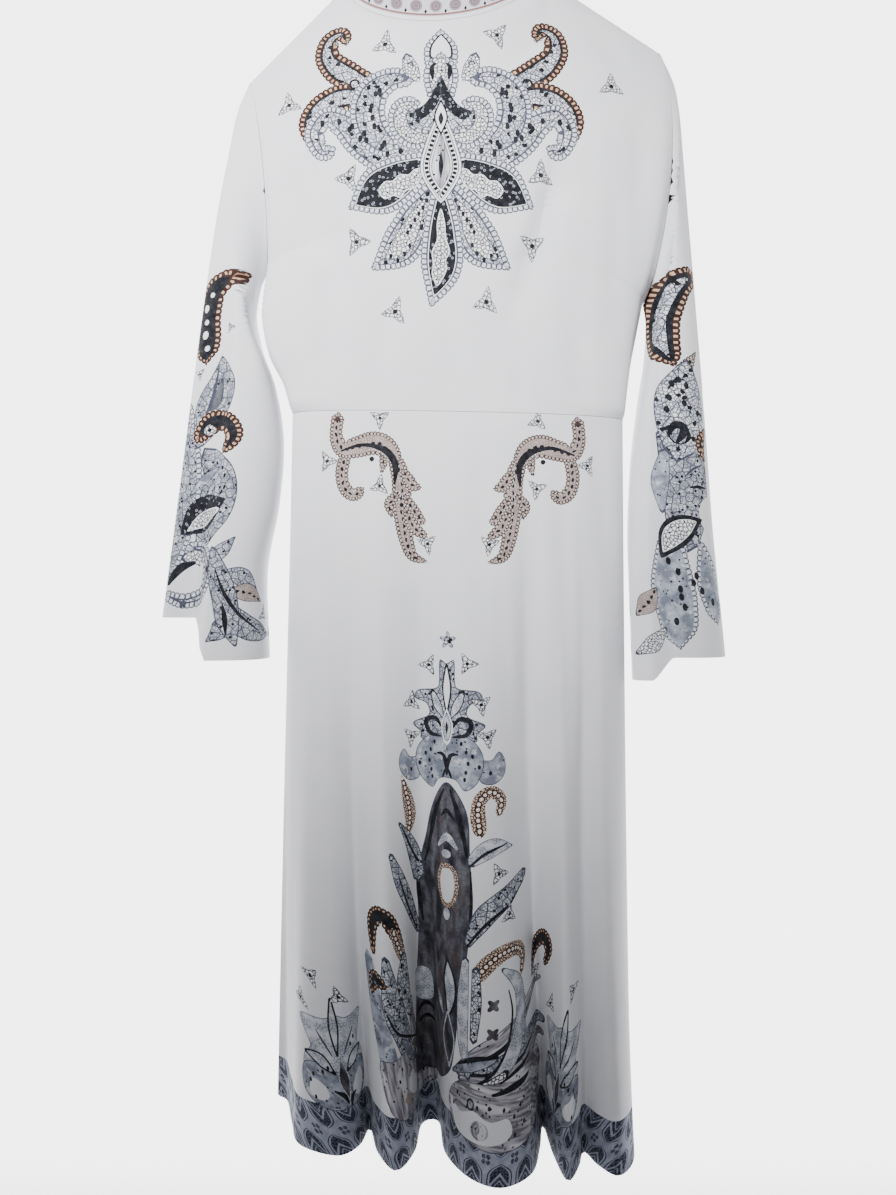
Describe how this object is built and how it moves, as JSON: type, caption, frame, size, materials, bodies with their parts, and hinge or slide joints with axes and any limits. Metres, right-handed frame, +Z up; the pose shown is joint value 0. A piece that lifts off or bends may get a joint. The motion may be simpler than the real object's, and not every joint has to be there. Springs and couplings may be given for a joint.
{
  "type": "caftan dress on a hanger",
  "caption": "Long white jersey caftan with bell sleeves, a stand collar and a paisley print, hanging on a plain wooden hanger.",
  "frame": {"origin": "the inside top of the hanger's hook, where it rests on a rail", "axes": "+Z up; the front of the garment, the side shown, faces -Y; +X is to the right seen from the front"},
  "size_m": [0.5808, 0.2026, 1.307],
  "materials": {
    "jersey": "smooth white printed jersey",
    "printed_band": "printed jersey, blue-grey on white",
    "hanger_wood": "clear satin lacquer",
    "hook_wire": "bright plated wire"
  },
  "bodies": {
    "root": {"bodice_front": "jersey", "bodice_back": "jersey", "skirt_front": "jersey", "skirt_back": "jersey", "sleeve_left": "jersey", "sleeve_right": "jersey", "neck_binding": "jersey", "stand_collar": "printed_band", "hanger_body": "hanger_wood", "hanger_hook": "hook_wire"}
  },
  "joints": []
}
